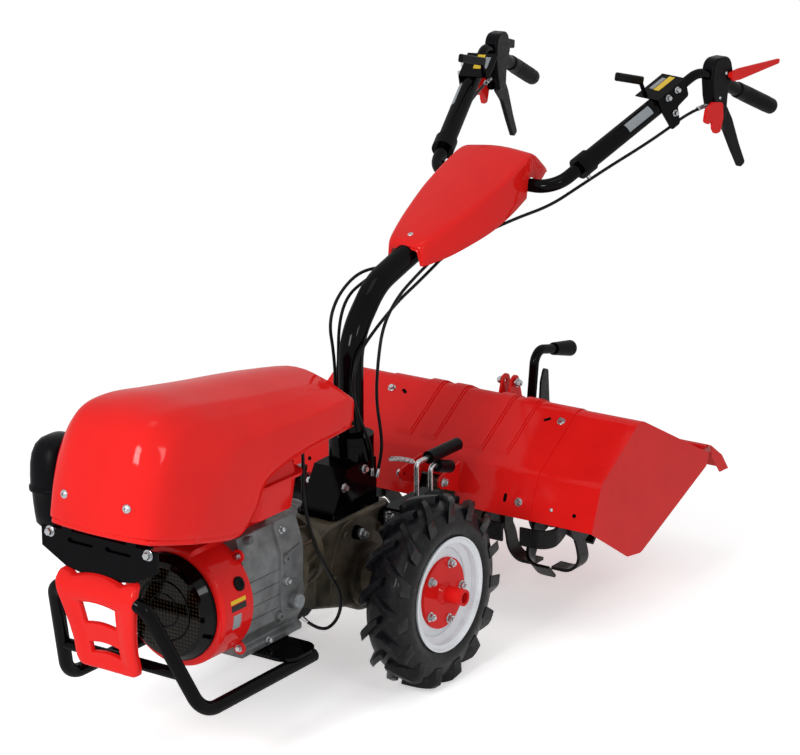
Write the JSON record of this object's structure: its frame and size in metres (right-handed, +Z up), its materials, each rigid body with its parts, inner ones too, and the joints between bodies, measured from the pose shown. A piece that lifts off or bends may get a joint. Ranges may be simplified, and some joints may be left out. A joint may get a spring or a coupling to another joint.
{
  "type": "walking garden tiller",
  "caption": "Walking garden tiller: engine under a cover, gearbox on two wheels, tined rotor under a sheet hood and a swinging handlebar on one column",
  "frame": {"origin": "On the ground under the middle of the whole machine", "axes": "+Y to the rear, where the driver walks, +X to the machine's left, +Z up"},
  "size_m": [0.91, 2.3706, 1.3374],
  "materials": {
    "tyre": "matt black tyre rubber",
    "rim": "white enamel",
    "red_metal": "gloss red enamel",
    "bright": "bright machined steel",
    "casting": "bare grey casting",
    "black_metal": "gloss black paint",
    "black_plastic": "black moulded plastic",
    "red_plastic": "gloss red moulded plastic",
    "steel": "zinc plated and bare steel",
    "grip": "black rubber grip",
    "cable": "black sheathed cable"
  },
  "bodies": {
    "chassis": {"gearbox_housing": "casting", "axle_housings": "casting", "bell_housing": "casting", "engine_block": "casting", "engine_cylinder": "casting", "fan_shroud": "red_metal", "recoil_cover": "black_plastic", "fuel_tank": "red_metal", "muffler": "black_metal", "air_cleaner": "black_plastic", "engine_cover": "red_plastic", "bumper_frame": "black_metal", "bumper_grille": "red_plastic", "base_plate": "black_metal", "front_bracket": "black_metal", "column_base": "black_metal", "engine_cable": "cable", "selector_bracket": "black_metal", "selector_rods": "steel", "selector_grips": "grip", "tiller_case": "casting", "tiller_hood": "red_metal", "hood_wings": "red_metal", "hood_bracket": "black_metal", "depth_skid": "steel", "hitch_clevis": "red_metal", "depth_quadrant": "steel", "depth_lever": "black_metal", "flap_hinge": "steel"},
    "left_wheel": {"left_tyre": "tyre", "left_rim": "rim", "left_hub": "red_metal", "left_axle_shaft": "bright"},
    "right_wheel": {"right_tyre": "tyre", "right_rim": "rim", "right_hub": "red_metal", "right_axle_shaft": "bright"},
    "tine_rotor": {"tine_shaft": "steel", "tine_blades": "steel"},
    "rear_flap": {"rear_flap": "red_metal"},
    "handlebar": {"column": "black_metal", "column_cover": "red_plastic", "crossbar": "black_metal", "handlebar_stems": "black_metal", "handle_tubes": "black_metal", "control_heads": "black_plastic", "hand_grips": "grip", "hand_levers": "black_plastic", "control_plates": "black_metal", "small_levers": "black_plastic", "safety_latches": "red_plastic", "thumb_lever": "red_plastic", "throttle_lever": "black_plastic", "handlebar_cables": "cable", "column_cables": "cable"}
  },
  "joints": [
    {"name": "left_wheel_spin", "type": "hinge", "parent": "chassis", "child": "left_wheel", "pos_m": [0.245, -0.255, 0.232], "axis": [1, 0, 0], "continuous": true},
    {"name": "right_wheel_spin", "type": "hinge", "parent": "chassis", "child": "right_wheel", "pos_m": [-0.245, -0.255, 0.232], "axis": [1, 0, 0], "continuous": true},
    {"name": "rotor_spin", "type": "hinge", "parent": "chassis", "child": "tine_rotor", "pos_m": [0, 0.345, 0.25], "axis": [1, 0, 0], "continuous": true},
    {"name": "flap_lift", "type": "hinge", "parent": "chassis", "child": "rear_flap", "pos_m": [0, 0.739, 0.352], "axis": [1, 0, 0], "range_deg": [0, 55]},
    {"name": "handlebar_swing", "type": "hinge", "parent": "chassis", "child": "handlebar", "pos_m": [0, -0.231, 0.552], "axis": [0, 0, 1], "range_deg": [-20, 20], "deforming": ["column_cables"]}
  ]
}
